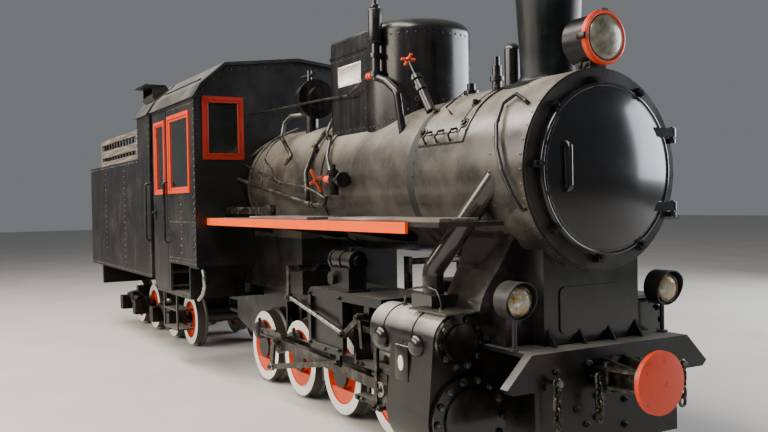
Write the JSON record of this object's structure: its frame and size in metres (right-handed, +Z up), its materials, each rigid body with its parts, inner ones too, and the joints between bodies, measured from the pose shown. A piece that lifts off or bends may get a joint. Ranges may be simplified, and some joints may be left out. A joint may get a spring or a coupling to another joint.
{
  "type": "steam locomotive with tender",
  "caption": "Narrow-gauge steam locomotive with coupled wheels, closed cab and bogie tender; wheels roll, rods follow, doors open and the tender turns at its drawbar",
  "frame": {"origin": "under the middle of the whole machine, in the plane of the flange tips", "axes": "+X forwards to the smokebox, +Y to the left side, +Z up; the rail tops are 25 mm above the origin"},
  "size_m": [10.044, 2.214, 3.205],
  "materials": {
    "black_paint": "aged satin black",
    "wheel_paint": "orange-red centres with white tyre faces",
    "stripe_paint": "satin orange-red",
    "window_paint": "satin orange-red",
    "bright_steel": "oiled bare steel",
    "cast_iron": "oily dark iron",
    "window_glass": "clear",
    "boards": "worn painted boards"
  },
  "bodies": {
    "engine": {"frame": "black_paint", "axleboxes": "cast_iron", "leaf_springs": "cast_iron", "brake_gear": "cast_iron", "buffer_beam": "black_paint", "front_coupler": "black_paint", "smokebox_saddle": "black_paint", "boiler": "black_paint", "smokebox": "black_paint", "chimney": "black_paint", "dome_casing": "black_paint", "running_boards": "black_paint", "board_edges": "stripe_paint", "cylinders": "black_paint", "cylinder_covers": "black_paint", "steam_pipes": "black_paint", "motion_brackets": "black_paint", "crossheads": "bright_steel", "main_rods": "bright_steel", "valve_gear": "bright_steel", "lubricators": "black_paint", "cab_front": "black_paint", "cab_sides": "black_paint", "cab_roof": "black_paint", "cab_floor": "black_paint", "cab_steps": "black_paint", "cab_glass": "window_glass", "window_frames": "window_paint", "handrails": "black_paint", "headlamp": "black_paint", "marker_lamps": "black_paint", "boiler_pipes": "black_paint", "boiler_fittings": "black_paint", "backhead": "black_paint", "coupling_chains": "cast_iron", "valve_handles": "stripe_paint"},
    "smokebox_door": {"smokebox_door": "black_paint"},
    "cab_door_right": {"cab_door_right": "black_paint", "door_glass_right": "window_glass"},
    "cab_door_left": {"cab_door_left": "black_paint", "door_glass_left": "window_glass"},
    "tender": {"tender_frame": "black_paint", "tender_tank": "black_paint", "coal_boards": "boards", "tender_hood": "black_paint", "tender_coupler": "black_paint"},
    "filler_lid": {"filler_lid": "black_paint"},
    "bogie_front": {"bogie_front": "cast_iron"},
    "bogie_rear": {"bogie_rear": "cast_iron"},
    "wheelset_1": {"wheelset_1": "wheel_paint"},
    "tender_wheelset_1": {"tender_wheelset_1": "wheel_paint"},
    "wheelset_2": {"wheelset_2": "wheel_paint"},
    "tender_wheelset_2": {"tender_wheelset_2": "wheel_paint"},
    "wheelset_3": {"wheelset_3": "wheel_paint"},
    "tender_wheelset_3": {"tender_wheelset_3": "wheel_paint"},
    "wheelset_4": {"wheelset_4": "wheel_paint"},
    "tender_wheelset_4": {"tender_wheelset_4": "wheel_paint"},
    "coupling_rod_right": {"coupling_rod_right": "bright_steel"},
    "coupling_rod_left": {"coupling_rod_left": "bright_steel"}
  },
  "joints": [
    {"name": "axle_1_turn", "type": "hinge", "parent": "engine", "child": "wheelset_1", "pos_m": [3.01, 0, 0.35], "axis": [0, 1, 0], "continuous": true},
    {"name": "axle_2_turn", "type": "hinge", "parent": "engine", "child": "wheelset_2", "pos_m": [2.21, 0, 0.35], "axis": [0, 1, 0], "continuous": true},
    {"name": "axle_3_turn", "type": "hinge", "parent": "engine", "child": "wheelset_3", "pos_m": [1.41, 0, 0.35], "axis": [0, 1, 0], "continuous": true},
    {"name": "axle_4_turn", "type": "hinge", "parent": "engine", "child": "wheelset_4", "pos_m": [0.61, 0, 0.35], "axis": [0, 1, 0], "continuous": true},
    {"name": "coupling_rod_right_pin", "type": "hinge", "parent": "wheelset_3", "child": "coupling_rod_right", "pos_m": [1.41, -0.5175, 0.5], "axis": [0, 1, 0], "continuous": true},
    {"name": "coupling_rod_left_pin", "type": "hinge", "parent": "wheelset_3", "child": "coupling_rod_left", "pos_m": [1.56, 0.5175, 0.35], "axis": [0, 1, 0], "continuous": true},
    {"name": "smokebox_door_hinge", "type": "hinge", "parent": "engine", "child": "smokebox_door", "pos_m": [4.64, 0.515, 1.843], "axis": [0, 0, 1], "range_deg": [0, 110]},
    {"name": "cab_door_right_hinge", "type": "hinge", "parent": "engine", "child": "cab_door_right", "pos_m": [-0.5525, -1.012, 1.725], "axis": [0, 0, -1], "range_deg": [0, 90]},
    {"name": "cab_door_left_hinge", "type": "hinge", "parent": "engine", "child": "cab_door_left", "pos_m": [-0.5525, 1.012, 1.725], "axis": [0, 0, 1], "range_deg": [0, 90]},
    {"name": "tender_drawbar", "type": "hinge", "parent": "engine", "child": "tender", "pos_m": [-0.74, 0, 0.605], "axis": [0, 0, 1], "range_deg": [-5, 5]},
    {"name": "filler_lid_hinge", "type": "hinge", "parent": "tender", "child": "filler_lid", "pos_m": [-4.49, 0, 2.3043], "axis": [0, -1, 0], "range_deg": [0, 100]},
    {"name": "bogie_front_pivot", "type": "hinge", "parent": "tender", "child": "bogie_front", "pos_m": [-2.19, 0, 0.715], "axis": [0, 0, 1], "range_deg": [-8, 8]},
    {"name": "tender_axle_1_turn", "type": "hinge", "parent": "bogie_front", "child": "tender_wheelset_1", "pos_m": [-1.815, 0, 0.325], "axis": [0, 1, 0], "continuous": true},
    {"name": "tender_axle_2_turn", "type": "hinge", "parent": "bogie_front", "child": "tender_wheelset_2", "pos_m": [-2.565, 0, 0.325], "axis": [0, 1, 0], "continuous": true},
    {"name": "bogie_rear_pivot", "type": "hinge", "parent": "tender", "child": "bogie_rear", "pos_m": [-3.85, 0, 0.715], "axis": [0, 0, 1], "range_deg": [-8, 8]},
    {"name": "tender_axle_3_turn", "type": "hinge", "parent": "bogie_rear", "child": "tender_wheelset_3", "pos_m": [-3.475, 0, 0.325], "axis": [0, 1, 0], "continuous": true},
    {"name": "tender_axle_4_turn", "type": "hinge", "parent": "bogie_rear", "child": "tender_wheelset_4", "pos_m": [-4.225, 0, 0.325], "axis": [0, 1, 0], "continuous": true}
  ],
  "couplings": [
    {"joint": "axle_1_turn", "follows": "axle_3_turn", "ratio": 1},
    {"joint": "axle_2_turn", "follows": "axle_3_turn", "ratio": 1},
    {"joint": "axle_4_turn", "follows": "axle_3_turn", "ratio": 1},
    {"joint": "coupling_rod_right_pin", "follows": "axle_3_turn", "ratio": -1},
    {"joint": "coupling_rod_left_pin", "follows": "axle_3_turn", "ratio": -1}
  ]
}
